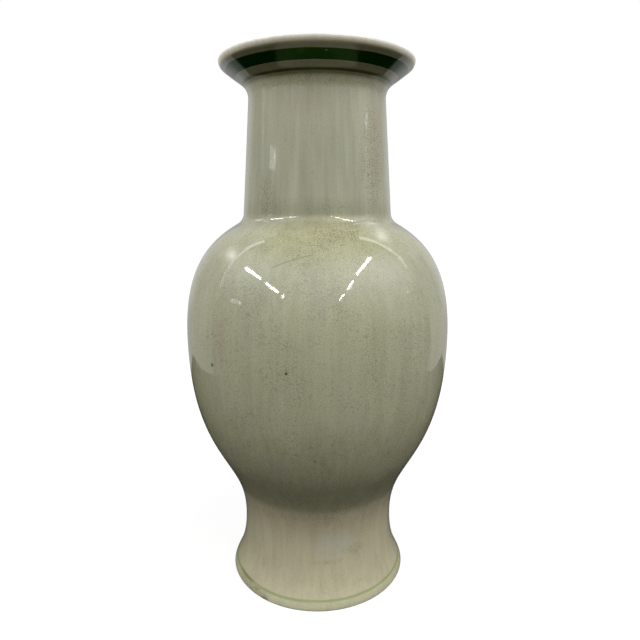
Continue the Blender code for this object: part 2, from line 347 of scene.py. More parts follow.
def chipped(sizes, height, angle):
    """The same drift with a small chip in the standing edge: a bell-shaped hollow."""
    across = (angle - CHIP_ANGLE) * sizes.foot_radius / CHIP_HALF_WIDTH
    upwards = height / CHIP_HEIGHT
    hollow = np.exp(-across ** 2 - upwards ** 2)
    wavy = np.sin(across * CHIP_WAVES[0]), np.cos(upwards * CHIP_WAVES[1])
    ragged = 1.0 + CHIP_RAGGEDNESS * wavy[0] * wavy[1]
    return wander(sizes, height, angle) - CHIP_DEPTH * hollow * ragged


def profile_normals(points):
    """Normals of an outline: its direction of travel turned a quarter to the right."""
    travel = np.gradient(points, axis=0)
    normal = np.stack([travel[..., 1], -travel[..., 0]], axis=-1)
    return normal / np.maximum(np.linalg.norm(normal, axis=-1, keepdims=True), LEAST_STEP)


def facet_angles(facets):
    return np.arange(facets) * 2 * math.pi / facets


def swept(points, normals, sizes, drift, angle):
    """Places and unit normals of one patch, swept round the axis with its drift.

    With r the moved radius, (n, m) the outline's normal and the drift's slopes up and round, the
    surface's normal is r n outwards, -n times the slope round it sideways and r (m - n times the
    slope up) upwards, made one long.
    """
    if points.ndim == 2:
        points, normals = points[:, None, :], normals[:, None, :]
    points = np.broadcast_to(points, (len(points), len(angle), 2))
    normals = np.broadcast_to(normals, points.shape)
    radius, height = points[..., 0], points[..., 1]
    moved = radius + np.where(radius > NUDGE, drift(sizes, height, angle), 0.0)
    rise = drift(sizes, height + NUDGE, angle) - drift(sizes, height - NUDGE, angle)
    turn = drift(sizes, height, angle + NUDGE) - drift(sizes, height, angle - NUDGE)
    out = moved * normals[..., 0]
    side = -(turn / (2 * NUDGE)) * normals[..., 0]
    up = moved * (normals[..., 1] - rise / (2 * NUDGE) * normals[..., 0])
    size = np.sqrt(out ** 2 + side ** 2 + up ** 2)
    on_axis = size < NOTHING
    size = np.where(on_axis, 1.0, size)
    up = np.where(on_axis, normals[..., 1], up)
    cosine, sine = np.cos(angle), np.sin(angle)
    normal = np.stack([(out * cosine - side * sine) / size,
                       (out * sine + side * cosine) / size, up / size], axis=-1)
    return np.stack([moved * cosine, moved * sine, height], axis=-1), normal


def closed_up(places, quads, loops, facets):
    """Puts the last ring on the first one or, where both lie on the axis, each on one point.
    Gives the points that are left, the faces and the normals of their corners."""
    merged = np.arange(len(places))
    last = len(places) - facets
    if np.allclose(places[:facets], places[last:], atol=NOTHING):
        merged[last:] = merged[:facets]
    else:
        merged[:facets], merged[last:] = 0, last
    quads = merged[quads]
    keep = ~((quads[:, 0] == quads[:, 1]) & (quads[:, 2] == quads[:, 3]))
    used, quads = np.unique(quads[keep], return_inverse=True)
    faces, shading = [], []
    for face, corner in zip(quads.reshape(-1, 4).tolist(), loops[keep].tolist()):
        if face[0] == face[1]:
            face, corner = face[1:], corner[1:]
        elif face[2] == face[3]:
            face, corner = face[:3], corner[:3]
        faces.append(face)
        shading.extend(corner)
    return used, faces, shading


def turned(name, patches, sizes, material, drift=wander, facets=None, across=None):
    """Surface of revolution: (r, z) goes to ((r + d) cos a, (r + d) sin a, z), d the drift.

    A patch is a pair of arrays, points and normals of the outline, with one row for each ring
    and, where the outline changes round the axis, one column for each facet. Each patch starts
    on the ring where the one before it ends. The last one ends on the first ring, or the outline
    starts and ends on the axis. The shading normals are the formula's own, so that neighbouring
    pieces meet without a visible joint.
    """
    facets = facets or sizes.facets
    column = np.arange(facets)
    after = (column + 1) % facets
    rings, quads, loops, first = [], [], [], 0
    for number, (points, normals) in enumerate(patches):
        place, normal = swept(points, normals, sizes, drift, facet_angles(facets))
        rings.extend(place[1:] if number else place)
        rows = (first + np.arange(len(place)))[:, None] * facets
        a, b = rows[:-1], rows[1:]
        quads.append(np.stack([a + column, a + after, b + after, b + column], -1).reshape(-1, 4))
        low, high = normal[:-1], normal[1:]
        loops.append(np.stack([low, low[:, after], high[:, after], high], 2).reshape(-1, 4, 3))
        first += len(place) - 1
    places = np.concatenate(rings).reshape(-1, 3)
    used, faces, shading = closed_up(places, np.concatenate(quads), np.concatenate(loops), facets)

    mesh = bpy.data.meshes.new(name)
    mesh.from_pydata(places[used], [], faces)
    if across is not None:
        values = np.repeat(np.asarray(across, np.float32), facets)[used]
        mesh.attributes.new("across", "FLOAT", "POINT").data.foreach_set("value", values)
    mesh.shade_smooth()
    mesh.normals_split_custom_set(shading)
    mesh.materials.append(material)
    return placed(name, mesh)


def placed(name, content):
    """A new object in the scene, with that mesh, lamp or camera."""
    item = bpy.data.objects.new(name, content)
    bpy.context.scene.collection.objects.link(item)
    return item


def dress(piece, slot, *nodes):
    """The piece stands for those solids and rides on the vase's body. The slot is not used."""
    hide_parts(*nodes)
    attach(piece, BODY)


def straight(start, end, size=0.0015):
    """A straight stretch of outline from one point to another, with its normals."""
    share = np.linspace(0.0, 1.0, len(steps(0.0, float(np.linalg.norm(end - start)), size)))
    points = start + (end - start) * share[:, None]
    direction = towards(start, end)
    return points, np.broadcast_to(point(direction[1], -direction[0]), points.shape)


def outside(wall, start, end, size=0.0013):
    """The wall's outer face between two lengths along it, with its normals."""
    run = steps(start, end, size)
    return wall.at(run), wall.normal(run)


def inside(wall, start, end, size=0.0024):
    """The wall's inner face, its thickness under the outer one, with the normals turned over."""
    run = steps(start, end, size)
    return wall.inner(run), -wall.normal(run)


def section(wall, start, end):
    """Outline of a thrown section, cut square to the wall at both ends."""
    return [outside(wall, start, end), straight(wall.at(end), wall.inner(end)),
            inside(wall, end, start), straight(wall.inner(start), wall.at(start))]


# Nodes

class Graph:
    """Places nodes in a tree. An input is a value or the socket that feeds it."""

    def __init__(self, tree):
        self.tree = tree

    def feed(self, socket, value):
        if isinstance(value, bpy.types.NodeSocket):
            self.tree.links.new(value, socket)
        else:
            socket.default_value = value

    def node(self, kind, inputs=None, **fields):
        node = self.tree.nodes.new(kind)
        for key, value in fields.items():
            setattr(node, key, value)
        for key, value in (inputs or {}).items():
            self.feed(node.inputs[key], value)
        return node

    def place(self):
        """The shaded place in its object's own coordinates."""
        return self.node("ShaderNodeTexCoord").outputs["Object"]

    def parts(self, vector):
        return self.node("ShaderNodeSeparateXYZ", {0: vector}).outputs

    def math(self, operation, first, second=0.0, clamp=False):
        return self.node("ShaderNodeMath", {0: first, 1: second}, operation=operation,
                         use_clamp=clamp).outputs[0]

    def times(self, first, second, clamp=False):
        return self.math("MULTIPLY", first, second, clamp)

    def plus(self, first, second, clamp=False):
        return self.math("ADD", first, second, clamp)

    def minus(self, first, second, clamp=False):
        return self.math("SUBTRACT", first, second, clamp)

    def vector(self, operation, first, second=(0.0, 0.0, 0.0)):
        node = self.node("ShaderNodeVectorMath", {0: first, 1: second}, operation=operation)
        return node.outputs["Value" if operation in ("LENGTH", "DOT_PRODUCT") else "Vector"]

    def scaled(self, vector, scale):
        return self.node("ShaderNodeVectorMath", {0: vector, "Scale": scale},
                         operation="SCALE").outputs[0]

    def blend(self, share, first, second):
        """Colour between first and second by share."""
        first, second = (c if isinstance(c, bpy.types.NodeSocket) else (*c, 1.0)
                         for c in (first, second))
        return self.node("ShaderNodeMix", {0: share, 6: first, 7: second},
                         data_type="RGBA").outputs[2]

    def between(self, value, low, high, at_low=0.0, at_high=1.0):
        """Smooth step from at_low, where the value is low, to at_high, where it is high."""
        return self.node("ShaderNodeMapRange", {"Value": value, 1: low, 2: high, 3: at_low,
                                                4: at_high},
                         interpolation_type="SMOOTHSTEP").outputs[0]

    def noise(self, vector, scale, detail=2.0, roughness=0.5, output="Fac"):
        return self.node("ShaderNodeTexNoise", {"Vector": vector, "Scale": scale,
                                                "Detail": detail, "Roughness": roughness}
                         ).outputs[output]

    def zone(self, value, low, below, high, above, strength=1.0):
        """The strength from low to high and 0 elsewhere, with a soft step of its own width below
        low and above high."""
        return self.times(self.between(value, low - below, low, 0.0, strength),
                          self.between(value, high, high + above, 1.0, 0.0))

    def use(self, name, **inputs):
        """Place a node group. Underscores in the names of its inputs stand for spaces."""
        node = self.node("ShaderNodeGroup", node_tree=group(name))
        for key, value in inputs.items():
            self.feed(node.inputs[key.replace("_", " ")], value)
        return node.outputs[0]

    def bump(self, relief):
        """Normal of a relief that is given in millimetres."""
        return self.node("ShaderNodeBump", {"Strength": 1.0, "Distance": MILLIMETRE,
                                            "Height": relief}).outputs[0]


def crackle(graph, given):
    """Net of fine cracks: the walls between the cells of a 3-D cell pattern, a little warped."""
    scale = graph.math("DIVIDE", 1.0, given["Cell Size"])
    waves = graph.noise(given["Vector"], graph.times(scale, 0.45), 1.0, output="Color")
    centred = graph.vector("SUBTRACT", waves, (0.5, 0.5, 0.5))
    reach = graph.times(given["Cell Size"], given["Waver"])
    warped = graph.vector("ADD", given["Vector"], graph.scaled(centred, reach))
    cells = graph.node("ShaderNodeTexVoronoi", {"Vector": warped, "Scale": scale},
                       feature="DISTANCE_TO_EDGE")
    return graph.between(cells.outputs["Distance"], 0.0, given["Line Width"], 1.0, 0.0)


def streaks(graph, given):
    """Long upright streaks of run glaze: noise that changes slowly with the height."""
    x, y, z = graph.parts(given["Vector"])
    drawn = graph.node("ShaderNodeCombineXYZ", {0: x, 1: y, 2: graph.times(z, given["Stretch"])})
    scale = graph.math("DIVIDE", 1.0, given["Width"])
    return graph.noise(drawn.outputs[0], scale, 3.0, 0.6)


def patch(graph, given):
    """One stained patch: 1 at its centre, fading unevenly to 0 at its reach."""
    away = graph.vector("SUBTRACT", given["Vector"], given["Centre"])
    away = graph.vector("LENGTH", graph.vector("DIVIDE", away, given["Reach"]))
    rough = graph.minus(graph.noise(given["Vector"], 260.0, 3.0, 0.6), 0.5)
    away = graph.plus(away, graph.times(rough, given["Raggedness"]))
    return graph.between(away, 0.25, 1.0, 1.0, 0.0)


def specks(graph, given):
    """Scattered pinholes and specks: small spots at a few of a cell pattern's centres."""
    scale = graph.math("DIVIDE", 1.0, given["Spacing"])
    cells = graph.node("ShaderNodeTexVoronoi", {"Vector": given["Vector"], "Scale": scale})
    reach = graph.times(given["Size"], scale)
    near = graph.math("LESS_THAN", cells.outputs["Distance"], reach)
    chosen = graph.node("ShaderNodeSeparateColor", {0: cells.outputs["Color"]}).outputs[0]
    return graph.times(near, graph.math("LESS_THAN", chosen, given["Share"]))


def hairline(graph, given):
    """One straight crack: 1 on the line between two places, fading to 0 at its reach."""
    along = graph.vector("SUBTRACT", given["End"], given["Start"])
    away = graph.vector("SUBTRACT", given["Vector"], given["Start"])
    share = graph.math("DIVIDE", graph.vector("DOT_PRODUCT", away, along),
                       graph.vector("DOT_PRODUCT", along, along), clamp=True)
    gap = graph.vector("LENGTH", graph.vector("SUBTRACT", away, graph.scaled(along, share)))
    return graph.between(gap, 0.0, given["Reach"], 1.0, 0.0)


NOWHERE = (0.0, 0.0, 0.0)

# Node groups: what works out the output, the output's name, and each input with its default
NODE_GROUPS = {
    "Crackle": (crackle, "Lines", {"Vector": NOWHERE, "Cell Size": 0.002, "Line Width": 0.06,
                                   "Waver": 0.3}),
    "Streaks": (streaks, "Streaks", {"Vector": NOWHERE, "Width": 0.004, "Stretch": 0.05}),
    "Patch": (patch, "Mask", {"Vector": NOWHERE, "Centre": NOWHERE, "Reach": (0.01, 0.01, 0.01),
                              "Raggedness": 0.6}),
    "Specks": (specks, "Specks", {"Vector": NOWHERE, "Spacing": 0.012, "Size": 0.0004,
                                  "Share": 0.3}),
    "Hairline": (hairline, "Mask", {"Vector": NOWHERE, "Start": NOWHERE, "End": NOWHERE,
                                    "Reach": 0.0004}),
}


def group(name):
    """The node group of that name, made when it is first asked for, with one float output."""
    if name in bpy.data.node_groups:
        return bpy.data.node_groups[name]
    build, output, inputs = NODE_GROUPS[name]
    tree = bpy.data.node_groups.new(name, "ShaderNodeTree")
    for label, default in inputs.items():
        kind = "NodeSocketFloat" if isinstance(default, float) else "NodeSocketVector"
        socket = tree.interface.new_socket(label, in_out="INPUT", socket_type=kind)
        socket.default_value = default
    tree.interface.new_socket(output, in_out="OUTPUT", socket_type="NodeSocketFloat")
    graph = Graph(tree)
    made = build(graph, graph.node("NodeGroupInput").outputs)
    graph.feed(graph.node("NodeGroupOutput").inputs[0], made)
    return tree


# Finishes

# Places are (azimuth in degrees, height); reaches are (sideways, upwards); then the strength
# Tea-brown stains in the crackle, and painted shade at the front above the waist and low on the
# foot
STAIN_AND_SHADE_PATCHES = [
    (44, 0.318, 0.009, 0.036, 0.32),
    (-40, 0.304, 0.006, 0.022, 0.32),
    (13, 0.281, 0.026, 0.009, 0.40),
    (42, 0.131, 0.016, 0.008, 0.20),
    # Painted shade across the front, just above the waist under the belly
    (-8, 0.073, 0.034, 0.005, 0.30),
    (27, 0.041, 0.014, 0.006, 0.35),
    (8, 0.034, 0.020, 0.0030, 0.25),
    (-45, 0.045, 0.0010, 0.022, 0.50),
    (-42, 0.024, 0.0030, 0.0060, 0.45),
    (-60, 0.040, 0.0022, 0.020, 0.25),
    # Painted shade at the bottom of the foot, on the left
    (-44, 0.0030, 0.016, 0.0055, 0.85),
    (-57, 0.0045, 0.010, 0.0060, 0.55),
]
ROSY_PATCHES = [
    (54, 0.345, 0.013, 0.045, 0.60),
    (-39, 0.211, 0.008, 0.024, 0.55),
    (56, 0.185, 0.014, 0.026, 0.50),
    (42, 0.131, 0.020, 0.012, 0.40),
    (-18, 0.121, 0.012, 0.010, 0.40),
    (-6, 0.365, 0.020, 0.012, 0.35),
]
MILKY_PATCHES = [
    (22, 0.332, 0.0025, 0.040, 0.40),
    (12, 0.049, 0.022, 0.015, 0.42),
    (-52, 0.042, 0.0022, 0.020, 0.35),
    (-40.5, 0.040, 0.0016, 0.020, 0.35),
    (-25, 0.228, 0.006, 0.030, 0.12),
]
# Where the glaze gathered thick under the neck
THICK_PATCHES = [
    (6, 0.2760, 0.062, 0.040, 0.90),
]
# Where the crackle shows more than elsewhere
CRACKED_PATCHES = [
    (10, 0.2800, 0.032, 0.012, 0.20),
    (47, 0.3300, 0.019, 0.046, 0.75),
    (-40, 0.3020, 0.011, 0.024, 0.75),
    (5, 0.2960, 0.030, 0.010, 0.25),
]
# Pinholes: azimuth, height, reach, depth of the spot
PINHOLES = [
    (-44.4, 0.1930, 0.0018, 1.00), (-11.2, 0.1950, 0.0013, 1.00), (-43.9, 0.2146, 0.0009, 0.55),
    (33.6, 0.1844, 0.0008, 0.35), (-1.2, 0.1316, 0.0009, 0.50), (-12.4, 0.1540, 0.0006, 0.40),
    (118.0, 0.2050, 0.0011, 0.80), (171.0, 0.1540, 0.0009, 0.70), (-127.0, 0.2410, 0.0009, 0.60),
]

# Places along a fine crack on the shoulder
HAIRLINE = [(-19.3, 0.2597), (-13.5, 0.2632), (-9.1, 0.2653), (-5.5, 0.2667), (-1.9, 0.2677)]

# Painted shade where shade falls: under the lip, in the corner under the mouth, in the neck's
# lower
# corner and under the belly at the waist: from, softness below, to, softness above, share
PAINTED_SHADE_BANDS = [
    (0.3824, 0.0024, 0.3948, 0.0020, 0.75),
    (0.3824, 0.0008, 0.3846, 0.0014, 0.40),
    (0.2860, 0.0060, 0.2950, 0.0120, 0.24),
    (0.0830, 0.0100, 0.0900, 0.0280, 0.60),
]
PAINTED_SHADE_TINT = (0.462, 0.440, 0.340)

# Painted light and shade by height: the top of the neck lighter, partly thin glaze and partly
# painted light; painted shade on the lower belly, which faces down, and on the shoulder under the
# neck: from, below, to, above, change
PAINTED_LIGHT_AND_SHADE = [
    (0.3600, 0.0200, 0.3790, 0.0030, (0.06, 0.04, 0.03)),
    (0.1020, 0.0100, 0.1350, 0.0300, (-0.07, -0.08, -0.12)),
    (0.2500, 0.0300, 0.2840, 0.0080, (-0.05, -0.05, -0.03)),
]

# Stretches of the height where the glaze differs: from, softness below, to, softness above
NECK_ZONE = (0.286, 0.006, 0.372, 0.006)
FOOT_ZONE = (0.008, 0.010, 0.060, 0.010)
SHOULDER_ZONE = (0.272, 0.012, 0.286, 0.012)

# Other tones of the glaze by height: from, to, share at the first and at the second height
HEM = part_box("foot_line")[0].z
TONES = {
    "waist_glaze": (0.066, 0.094, 0.9, 0.0),
    "foot_glaze": (0.040, 0.068, 0.9, 0.0),
    "hem_glaze": (HEM - 0.0006, HEM, 0.8, 0.0),
    "edge_glaze": (0.0006, 0.0017, 0.9, 0.0),
    # The lip: thin pale glaze with painted light on its bend and a painted highlight on its crest
    "lit_lip_glaze": (0.3947, 0.3970, 0.0, 1.0),
    "rim_glaze_highlight": (0.3972, 0.3990, 0.0, 1.0),
}

# Clouds in the glaze: scale, detail and roughness of the noise; then which of its values count
CLOUDS = (26.0, 4.0, 0.55)
SMALL_CLOUDS = (60.0, 3.0, 0.5)
SMALL_CLOUDS_SHIFT = (0.31, 0.17, 0.53)
WARM_CLOUDS = (0.42, 0.72)
COOL_CLOUDS = (0.45, 0.70)
THICK_CLOUDS = (0.25, 0.60, 0.6, 1.0)
NECK_SHARE = 0.8
THICK_ELSEWHERE = 0.25

# Streaks of run glaze, and the stains and painted shade patches
NARROW_STREAKS = {"Width": 0.0040, "Stretch": 0.05}
WIDE_STREAKS = {"Width": 0.011, "Stretch": 0.08}
RIDGES = {"Width": 0.0016, "Stretch": 0.06}
STREAK_CONTRAST = 0.27
NECK_CONTRAST = 0.15        # added to it on the neck
ROSY_STREAKS = (0.46, 0.62)
ROSY_SHARE = 0.15
STAIN_AND_SHADE_SHARE = 0.25
STAIN_AND_SHADE_CREEP = 1.3           # added to it along the cracks

# Crackle: how dark its lines are, and by how much that changes on the neck and the foot, under
# the neck, towards the mouth and from place to place
CRACK_TINT = (0.53, 0.52, 0.44)
FINE_CRACKLE = {"Cell_Size": 0.0018, "Line_Width": 0.13, "Waver": 0.35}
CRACK_DEPTH = 0.62
CALM_CHANGE = -0.38
SHOULDER_CHANGE = 0.12
MOUTH_FADE = (0.380, 0.384, 1.0, 0.3)
FADING = (0.35, 0.65, 0.60, 1.0)
FADING_SCALE = 45.0

# The one longer crack, and the specks and pinholes
HAIRLINE_REACH = 0.0007
HAIRLINE_DEPTH = 0.8
SPECKS = {"Spacing": 0.016, "Size": 0.00042, "Share": 0.10}
SPECK_DEPTH = 0.85

# Gloss of the glaze, of the cracks in it and of the bare edge
GLAZE_INDEX = 1.57
GLAZE_ROUGHNESS = 0.035
CRACK_ROUGHNESS = 0.03
BARE_ROUGHNESS = 0.5

# Relief: scale, detail and roughness of the noise, and heights in millimetres
RIPPLES = (80.0, 1.0, 0.4)
PEEL = (190.0, 0.0)
ENAMEL_RIPPLES = (120.0, 2.0)
RIPPLE_RELIEF = 0.060
PEEL_RELIEF = 0.034
RIDGE_RELIEF = 0.045
CRACK_RELIEF = 0.001
ENAMEL_RELIEF = 0.03

# The bare standing edge, and the dirt that covers the chip in it
DIRT = (300.0, 4.0, 0.65)
BARE_EDGE = (0.0006, 0.0012, 1.0, 0.0)
BARE_EDGE_WAVER = 0.0010
DIRTY = (0.35, 0.65)
CHIP_DIRT = {"Reach": (0.0060, 0.0060, 0.0042), "Raggedness": 0.5}

# Brush strokes in the enamel, drawn out round the vase
BRUSH = (90.0, 4.0, 0.6)
BRUSH_STRETCH = (1.0, 1.0, 7.0)
BRUSH_THINNESS = (0.45, 0.80, 0.0, 0.35)
EDGE_THINNESS = 0.8
ENAMEL_CRACKLE = {"Cell_Size": 0.0022, "Line_Width": 0.08, "Waver": 0.35}
ENAMEL_CRACK_DEPTH = 0.15
ENAMEL_CRACK_SHADE = 0.5
ENAMEL_ROUGHNESS = 0.07
BRUSH_ROUGHNESS = 0.06
NICK_RAGGEDNESS = 0.4


def new_material(name):
    """A material with a glassy shader that isn't metal."""
    material = bpy.data.materials.new(name)
    material.use_nodes = True
    shader = material.node_tree.nodes["Principled BSDF"]
    shader.inputs["Metallic"].default_value = 0.0
    shader.inputs["IOR"].default_value = GLAZE_INDEX
    return material, Graph(material.node_tree), shader


def on_wall(wall, azimuth, height):
    """Point of the outer surface at an azimuth in degrees and a height."""
    radius = float(np.interp(height, wall.line[:, 1], wall.line[:, 0]))
    turn = math.radians(azimuth)
    return (radius * math.sin(turn), -radius * math.cos(turn), height)


class Glaze:
    """Celadon glaze on the vase's wall. Most of its methods add one effect to a colour."""

    def __init__(self, graph, sizes, colours, wall):
        self.graph, self.sizes, self.colours, self.wall = graph, sizes, colours, wall
        self.place = graph.place()
        self.height = graph.parts(self.place)[2]
        self.on_neck = graph.zone(self.height, *NECK_ZONE)
        self.on_foot = graph.zone(self.height, *FOOT_ZONE)
        self.under_neck = graph.zone(self.height, *SHOULDER_ZONE)
        self.fine = graph.use("Crackle", Vector=self.place, **FINE_CRACKLE)

    def covered(self, patches):
        """How much the patches cover, each with its own strength."""
        graph, share = self.graph, 0.0
        for azimuth, level, sideways, upwards, strength in patches:
            mask = graph.use("Patch", Vector=self.place, Centre=on_wall(self.wall, azimuth, level),
                             Reach=(sideways, sideways, upwards))
            share = graph.plus(share, graph.times(mask, strength), clamp=True)
        return share

    def mottled(self):
        """The glaze's colour: cloudy, of another tone in some zones, and with painted light on the
        lip.
        """
        graph, colours = self.graph, self.colours
        clouds = graph.noise(self.place, *CLOUDS)
        shifted = graph.vector("ADD", self.place, SMALL_CLOUDS_SHIFT)
        small_clouds = graph.noise(shifted, *SMALL_CLOUDS)
        surface = graph.blend(graph.between(clouds, *WARM_CLOUDS), colours.glaze,
                              colours.warm_glaze)
        surface = graph.blend(graph.between(small_clouds, *COOL_CLOUDS), surface,
                              colours.cool_glaze)
        surface = graph.blend(graph.times(self.on_neck, NECK_SHARE), surface, colours.neck_glaze)
        thick = graph.plus(self.covered(THICK_PATCHES), THICK_ELSEWHERE, clamp=True)
        thick = graph.times(graph.between(small_clouds, *THICK_CLOUDS), thick)
        surface = graph.blend(graph.times(self.under_neck, thick), surface,
                              colours.shoulder_glaze)
        for tone, heights in TONES.items():
            share = graph.between(self.height, *heights)
            surface = graph.blend(share, surface, getattr(colours, tone))
        return surface

    def streaked(self, surface):
        """Upright streaks, wide rosy ones on the neck, and painted light and shade by height."""
        graph = self.graph
        narrow = graph.use("Streaks", Vector=self.place, **NARROW_STREAKS)
        wide = graph.use("Streaks", Vector=self.place, **WIDE_STREAKS)
        tinged = graph.times(graph.between(wide, *ROSY_STREAKS), ROSY_SHARE)
        surface = graph.blend(graph.times(tinged, self.on_neck), surface, self.colours.rosy)
        unevenness = graph.minus(graph.plus(narrow, wide), 1.0)
        contrast = graph.plus(graph.times(self.on_neck, NECK_CONTRAST), STREAK_CONTRAST)
        brightness = graph.plus(1.0, graph.times(unevenness, contrast))
        shade = graph.scaled(WHITE, brightness)
        for low, below, high, above, change in PAINTED_LIGHT_AND_SHADE:
            zone = graph.zone(self.height, low, below, high, above)
            shade = graph.vector("ADD", shade, graph.scaled(change, zone))
        return graph.vector("MULTIPLY", surface, shade)

    def stained_and_shaded(self, surface):
        """Milky and rosy patches, and brown stains and painted shade that creep along the cracks.
        """
        graph, colours = self.graph, self.colours
        surface = graph.blend(self.covered(MILKY_PATCHES), surface, colours.milky)
        surface = graph.blend(self.covered(ROSY_PATCHES), surface, colours.rosy)
        creep = graph.plus(STAIN_AND_SHADE_SHARE, graph.times(self.fine, STAIN_AND_SHADE_CREEP))
        share = graph.times(self.covered(STAIN_AND_SHADE_PATCHES), creep, clamp=True)
        return graph.blend(share, surface, colours.stain_and_shade)

    # Painted shade: darkens the glaze under the lip, in the neck's corners and under the belly
    def painted_shade(self, surface):
        graph, share = self.graph, 0.0
        for pool in PAINTED_SHADE_BANDS:
            share = graph.plus(share, graph.zone(self.height, *pool), clamp=True)
        return graph.blend(share, surface, graph.vector("MULTIPLY", surface, PAINTED_SHADE_TINT))

    def cracked(self, surface):
        """The crackle, which is fainter on neck, foot and mouth, and one longer crack."""
        graph = self.graph
        fading = graph.between(graph.noise(self.place, FADING_SCALE), *FADING)
        calm = graph.math("MAXIMUM", self.on_neck, self.on_foot)
        depth = graph.plus(graph.times(calm, CALM_CHANGE), CRACK_DEPTH)
        depth = graph.plus(depth, graph.times(self.under_neck, SHOULDER_CHANGE))
        depth = graph.plus(depth, self.covered(CRACKED_PATCHES))
        depth = graph.times(depth, graph.between(self.height, *MOUTH_FADE))
        lines = graph.times(graph.times(self.fine, depth), fading, clamp=True)
        for start, end in zip(HAIRLINE, HAIRLINE[1:]):
            crack = graph.use("Hairline", Vector=self.place, Start=on_wall(self.wall, *start),
                              End=on_wall(self.wall, *end), Reach=HAIRLINE_REACH)
            lines = graph.math("MAXIMUM", lines, graph.times(crack, HAIRLINE_DEPTH))
        return graph.blend(lines, surface, graph.vector("MULTIPLY", surface, CRACK_TINT))

    def specked(self, surface):
        graph = self.graph
        spots = graph.use("Specks", Vector=self.place, **SPECKS)
        for azimuth, level, reach, dark in PINHOLES:
            centre = on_wall(self.wall, azimuth, level)
            away = graph.vector("LENGTH", graph.vector("SUBTRACT", self.place, centre))
            hole = graph.between(away, reach / 2, reach, dark, 0.0)
            spots = graph.math("MAXIMUM", spots, hole)
        return graph.blend(graph.times(spots, SPECK_DEPTH), surface, self.colours.speck)

    def bare_edge(self, surface, rough):
        """Colour and roughness with the dirty edge that has no glaze, and with the chip."""
        graph, colours = self.graph, self.colours
        dirt = graph.noise(self.place, *DIRT)
        waver = graph.times(graph.minus(dirt, 0.5), BARE_EDGE_WAVER)
        edge = graph.between(graph.plus(self.height, waver), *BARE_EDGE)
        bare = graph.blend(graph.between(dirt, *DIRTY), colours.body, colours.grime)
        surface = graph.blend(edge, surface, bare)
        chip_centre = (self.sizes.foot_radius * math.cos(CHIP_ANGLE),
                       self.sizes.foot_radius * math.sin(CHIP_ANGLE), 0.0)
        chip = graph.use("Patch", Vector=self.place, Centre=chip_centre, **CHIP_DIRT)
        surface = graph.blend(chip, surface, colours.grime)
        rougher = graph.times(graph.math("MAXIMUM", edge, chip), BARE_ROUGHNESS)
        return surface, graph.plus(rough, rougher)

    def relief(self):
        """Slow ripples, a fine peel and upright ridges on the neck, with the cracks cut in."""
        graph = self.graph
        ripples = graph.times(graph.noise(self.place, *RIPPLES), RIPPLE_RELIEF)
        peel = graph.times(graph.noise(self.place, *PEEL), PEEL_RELIEF)
        relief = graph.minus(graph.plus(ripples, peel), graph.times(self.fine, CRACK_RELIEF))
        ridges = graph.use("Streaks", Vector=self.place, **RIDGES)
        return graph.plus(relief, graph.times(ridges, graph.times(self.on_neck, RIDGE_RELIEF)))


def glaze_finish(name, sizes, colours, wall, bare_edge=False):
    """Celadon glaze: mottled by zones, streaked on neck and foot, with stains, crackled and
    glossy, with painted light and shade.
    """
    if name in bpy.data.materials:
        return bpy.data.materials[name]
    material, graph, shader = new_material(name)
    glaze = Glaze(graph, sizes, colours, wall)
    surface = glaze.mottled()
    for effect in (glaze.streaked, glaze.stained_and_shaded, glaze.painted_shade, glaze.cracked, glaze.specked):
        surface = effect(surface)
    rough = graph.plus(GLAZE_ROUGHNESS, graph.times(glaze.fine, CRACK_ROUGHNESS))
    if bare_edge:
        surface, rough = glaze.bare_edge(surface, rough)
    graph.feed(shader.inputs["Base Color"], surface)
    graph.feed(shader.inputs["Roughness"], rough)
    graph.feed(shader.inputs["Normal"], graph.bump(glaze.relief()))
    return material


def enamel_finish(name, full, thin, cast, firm, spots=()):
    """Painted enamel: brush-streaked round the vase, thinner and lighter at both edges. Firm is
    the share of its half width that stays thick."""
    if name in bpy.data.materials:
        return bpy.data.materials[name]
    material, graph, shader = new_material(name)
    place = graph.place()
    across = graph.node("ShaderNodeAttribute", attribute_name="across").outputs["Fac"]
    shader.inputs["Specular Tint"].default_value = (*cast, 1.0)
    brush = graph.noise(graph.vector("MULTIPLY", place, BRUSH_STRETCH), *BRUSH)
    edge = graph.between(graph.math("ABSOLUTE", across), firm, 1.0)
    thinness = graph.plus(graph.between(brush, *BRUSH_THINNESS),
                          graph.times(edge, EDGE_THINNESS), clamp=True)
    surface = graph.blend(thinness, full, thin)
    # Spots of another colour: a nick in the enamel, and painted shade on the foot's line
    for centre, reach, bare in spots:
        mask = graph.use("Patch", Vector=place, Centre=centre, Reach=(reach,) * 3,
                         Raggedness=NICK_RAGGEDNESS)
        surface = graph.blend(mask, surface, bare)
    lines = graph.use("Crackle", Vector=place, **ENAMEL_CRACKLE)
    surface = graph.blend(graph.times(lines, ENAMEL_CRACK_DEPTH), surface,
                          graph.scaled(surface, ENAMEL_CRACK_SHADE))
    rough = graph.plus(ENAMEL_ROUGHNESS, graph.times(brush, BRUSH_ROUGHNESS))
    relief = graph.times(graph.noise(place, *ENAMEL_RIPPLES), ENAMEL_RELIEF)
    graph.feed(shader.inputs["Base Color"], surface)
    graph.feed(shader.inputs["Roughness"], rough)
    graph.feed(shader.inputs["Normal"], graph.bump(relief))
    return material


# Operators

BASE_COVE = 0.0030          # height of the hollow curve between the floor and the wall
COVE_POWER = 14             # the higher, the narrower that curve
BASE_LAP = 0.0002           # how far the floor reaches into the wall
BEAD_SUNK = 0.0003          # how deep a bead's edges lie in the wall; its back lies twice as deep

# Distances between rings where they lie closer than elsewhere, and points on small curves
MOUTH_STEP = 0.0007
THROAT_STEP = 0.0012
RING_STEP = 0.0006
CREST_POINTS = 9
OVER_POINTS = 13
EDGE_POINTS = 7
DOME_POINTS = 40
BEAD_POINTS = 25

